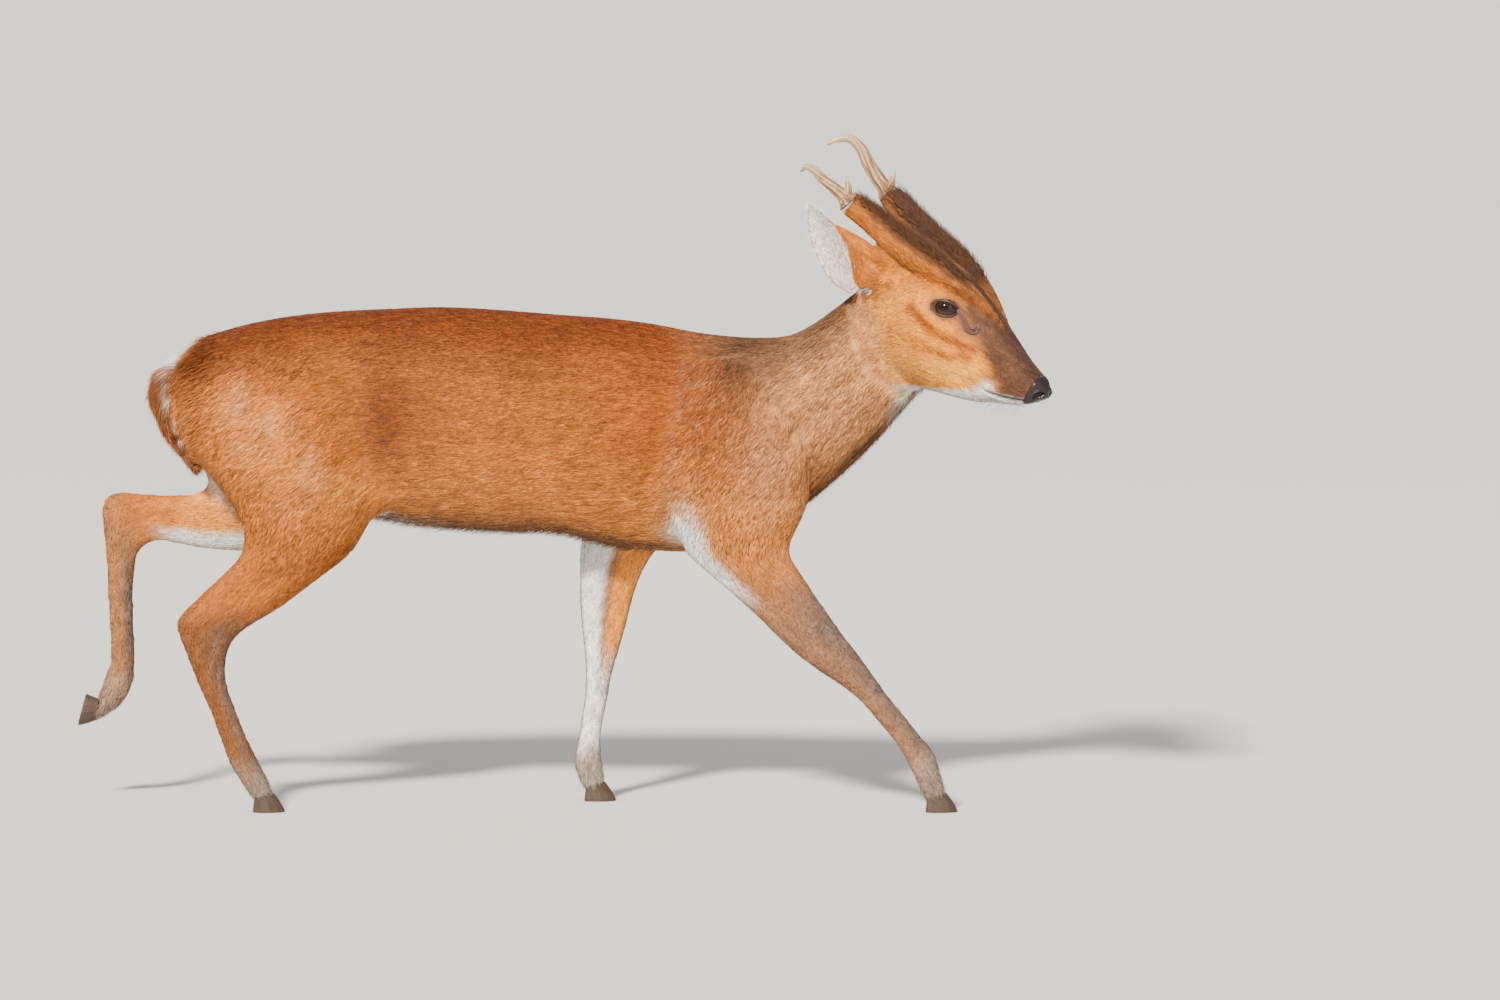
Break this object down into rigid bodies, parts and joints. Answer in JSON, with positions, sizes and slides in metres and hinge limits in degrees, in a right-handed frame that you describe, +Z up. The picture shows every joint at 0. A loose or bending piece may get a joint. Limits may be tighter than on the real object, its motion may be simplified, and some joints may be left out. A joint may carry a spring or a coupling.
{
  "type": "indian muntjac model",
  "caption": "Life-size still model of a male muntjac deer walking with one hind foot lifted, head turned to its right, for display on a flat floor",
  "frame": {"origin": "On the floor under the middle of the deer's bounding box.", "axes": "+X is the way the deer walks, +Y is its left side, +Z is up."},
  "size_m": [1.0234, 0.1886, 0.7049],
  "materials": {
    "body_coat": "short chestnut coat",
    "neck_coat": "short grey-brown coat",
    "head_coat": "short orange-brown coat with dark forehead stripes",
    "leg_coat": "short brown coat, paler at the back",
    "ear_coat": "thin short coat, pale inside",
    "pale_coat": "short white coat",
    "nose_skin": "moist dark skin",
    "eye_gloss": "glossy dark brown",
    "antler_bone": "pale bone with brown grooves",
    "hoof_horn": "dark horn"
  },
  "bodies": {
    "root": {"antler_left_beam": "antler_bone", "antler_left_brow_tine": "antler_bone", "antler_right_beam": "antler_bone", "antler_right_brow_tine": "antler_bone", "cannon_fore_left": "leg_coat", "cannon_fore_right": "leg_coat", "cannon_hind_left": "leg_coat", "cannon_hind_right": "leg_coat", "ear_left": "ear_coat", "ear_right": "ear_coat", "eye_left": "eye_gloss", "eye_right": "eye_gloss", "forearm_left": "leg_coat", "forearm_right": "leg_coat", "head": "head_coat", "hoof_fore_left_a": "hoof_horn", "hoof_fore_left_b": "hoof_horn", "hoof_fore_right_a": "hoof_horn", "hoof_fore_right_b": "hoof_horn", "hoof_hind_left_a": "hoof_horn", "hoof_hind_left_b": "hoof_horn", "hoof_hind_right_a": "hoof_horn", "hoof_hind_right_b": "hoof_horn", "lower_jaw": "pale_coat", "neck": "neck_coat", "nose_pad": "nose_skin", "pedicle_left": "head_coat", "pedicle_right": "head_coat", "shank_and_hock_left": "body_coat", "shank_and_hock_right": "body_coat", "tail": "body_coat", "torso": "body_coat"}
  },
  "joints": []
}
